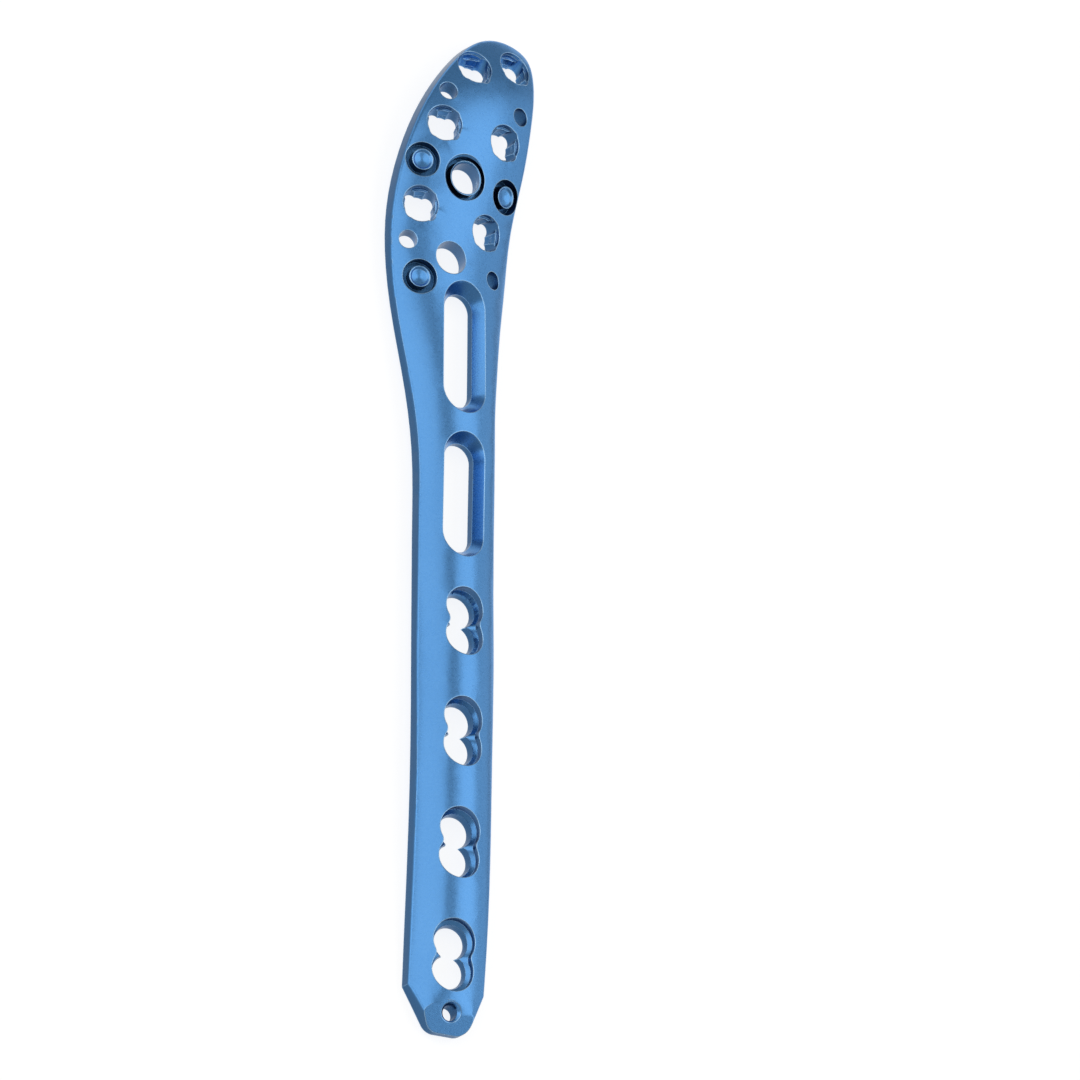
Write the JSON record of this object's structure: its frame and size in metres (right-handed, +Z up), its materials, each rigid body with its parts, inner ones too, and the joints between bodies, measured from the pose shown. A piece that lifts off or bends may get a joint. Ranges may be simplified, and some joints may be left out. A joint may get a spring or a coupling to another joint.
{
  "type": "orthopedic bone plate",
  "caption": "Contoured bone plate: a broad head with locking, pin and ring features tapers to a slotted shaft with combination holes and a bevelled tip.",
  "frame": {"origin": "middle of the footprint of the plate, on the level it rests on", "axes": "+X across the plate, +Y along it from the narrow tip to the broad head, +Z up out of the crowned outer face"},
  "size_m": [0.0214, 0.1422, 0.006],
  "materials": {
    "anodised_titanium": null
  },
  "bodies": {
    "root": {"bone_plate": "anodised_titanium"}
  },
  "joints": []
}
